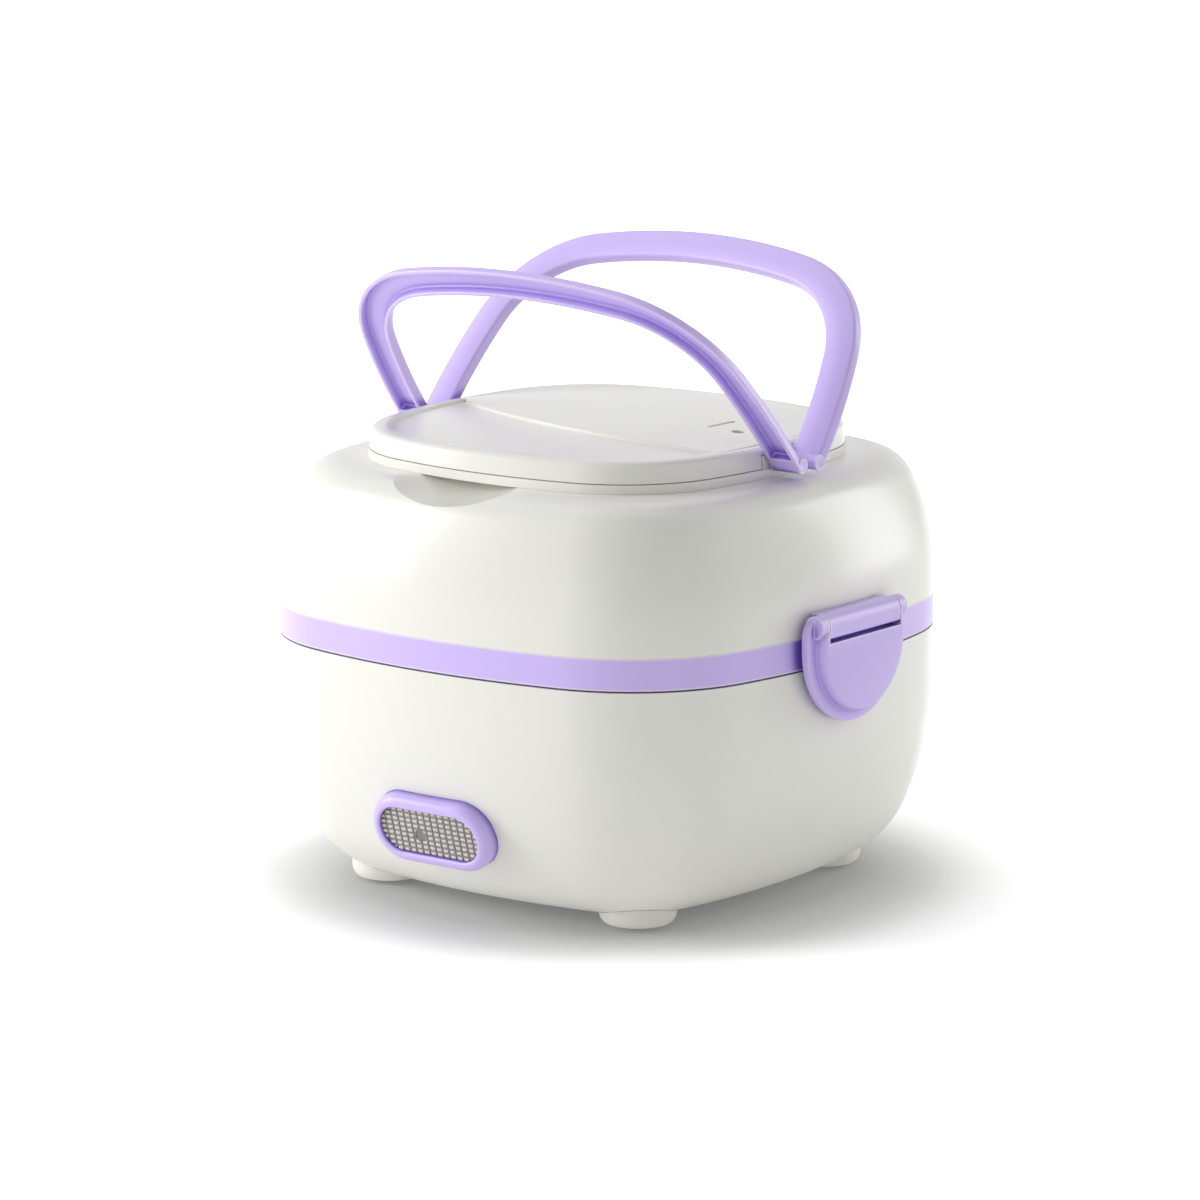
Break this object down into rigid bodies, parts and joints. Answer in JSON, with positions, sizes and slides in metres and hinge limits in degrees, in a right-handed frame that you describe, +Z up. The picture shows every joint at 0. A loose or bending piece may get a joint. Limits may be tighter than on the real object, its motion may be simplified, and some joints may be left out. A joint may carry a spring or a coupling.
{
  "type": "electric lunch box",
  "caption": "Electric heated lunch box: rounded-square base, lift-out steel liner, latched lift-off lid with a domed cap and twin bail handles.",
  "frame": {"origin": "centre of the footprint, on the table under the feet", "axes": "+Z up, -Y towards the indicator at the front, +Y towards the inlet at the back, X across the two latches"},
  "size_m": [0.1844, 0.172, 0.1845],
  "materials": {
    "shell_white": "satin moulded polypropylene",
    "lavender": "satin moulded polypropylene, coloured through",
    "inner_plastic": "matt moulded polypropylene",
    "foot_white": "matt moulded elastomer",
    "cast_aluminium": "die cast, turned face",
    "sheet_metal": "zinc plated sheet",
    "stainless": "deep drawn, brushed",
    "silicone": "moulded silicone",
    "black_plastic": "moulded, fine gloss",
    "lens": "smoked translucent, knurled",
    "brass_pin": "nickel plated",
    "fibre_sleeve": "woven glass sleeve",
    "wire_brown": "insulated wire",
    "wire_blue": "insulated wire",
    "wire_yellow": "insulated wire",
    "lamp": "tinted lamp on its board"
  },
  "bodies": {
    "base": {"base_housing": "shell_white", "bottom_cover": "shell_white", "feet": "foot_white", "inner_tub": "inner_plastic", "heating_plate": "cast_aluminium", "plate_seal": "silicone", "ptc_heater": "cast_aluminium", "heater_clamp": "sheet_metal", "thermostat": "black_plastic", "thermal_fuse": "fibre_sleeve", "power_inlet": "black_plastic", "inlet_pins": "brass_pin", "live_lead": "wire_brown", "neutral_lead": "wire_blue", "lamp_lead": "wire_yellow", "indicator_bezel": "lavender", "indicator_lens": "lens", "indicator_lamp": "lamp", "base_screws": "sheet_metal", "heater_screws": "sheet_metal"},
    "liner": {"steel_liner": "stainless"},
    "lid": {"upper_shell": "shell_white", "trim_band": "lavender", "lid_inner_panel": "inner_plastic", "lid_seal": "silicone", "cap_base": "shell_white", "top_cap": "shell_white", "steam_tube": "silicone", "steam_valve": "silicone", "handle_pins": "sheet_metal", "latch_pins": "sheet_metal", "lid_screws": "sheet_metal"},
    "front_handle": {"front_handle": "lavender"},
    "rear_handle": {"rear_handle": "lavender"},
    "latch_right": {"latch_right": "lavender"},
    "latch_left": {"latch_left": "lavender"}
  },
  "joints": [
    {"name": "liner_lift", "type": "slide", "parent": "base", "child": "liner", "axis": [0, 0, 1], "range_m": [0, 0.06]},
    {"name": "lid_lift", "type": "slide", "parent": "liner", "child": "lid", "axis": [0, 0, 1], "range_m": [0, 0.08]},
    {"name": "front_handle_hinge", "type": "hinge", "parent": "lid", "child": "front_handle", "pos_m": [0, -0.0041, 0.12965], "axis": [1, 0, 0], "range_deg": [-38.5, 51]},
    {"name": "rear_handle_hinge", "type": "hinge", "parent": "lid", "child": "rear_handle", "pos_m": [0, 0.0041, 0.12965], "axis": [-1, 0, 0], "range_deg": [-38.5, 51]},
    {"name": "latch_right_hinge", "type": "hinge", "parent": "lid", "child": "latch_right", "pos_m": [0.0889, 0, 0.0876], "axis": [0, -1, 0], "range_deg": [0, 120]},
    {"name": "latch_left_hinge", "type": "hinge", "parent": "lid", "child": "latch_left", "pos_m": [-0.0889, 0, 0.0876], "axis": [0, 1, 0], "range_deg": [0, 120]}
  ]
}
